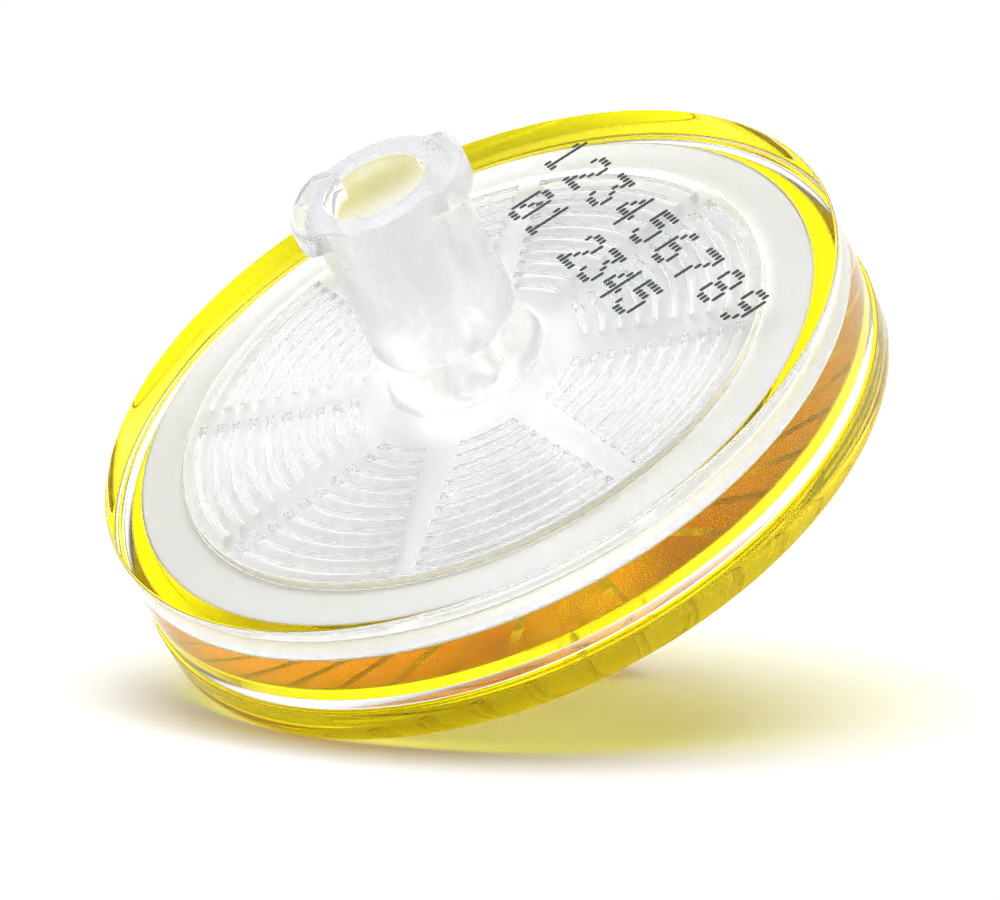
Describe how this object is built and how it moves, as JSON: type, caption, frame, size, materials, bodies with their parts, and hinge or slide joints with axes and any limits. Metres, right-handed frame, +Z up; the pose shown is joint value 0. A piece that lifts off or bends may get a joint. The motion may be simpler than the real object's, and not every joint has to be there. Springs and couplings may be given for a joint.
{
  "type": "disc syringe filter",
  "caption": "Disc syringe filter with a clear inlet half, a female Luer lock hub, a white membrane and a yellow outlet half with a male Luer slip tip, lying on its rim and tip.",
  "frame": {"origin": "centre of the bounding box at the lowest points, where the disc's foot and the end of the tip touch the table", "axes": "+Z up from the table, front faces -Y; the flow axis leans 35.9 degrees from +Z, with the inlet hub up and towards the left and front"},
  "size_m": [0.0326, 0.0322, 0.024],
  "materials": {
    "clear_plastic": "clear moulded plastic with a fine gloss",
    "membrane_white": "matt white porous sheet",
    "yellow_plastic": "translucent yellow moulded plastic, glossy"
  },
  "bodies": {
    "root": {"inlet_housing": "clear_plastic", "membrane": "membrane_white", "outlet_housing": "yellow_plastic"}
  },
  "joints": []
}
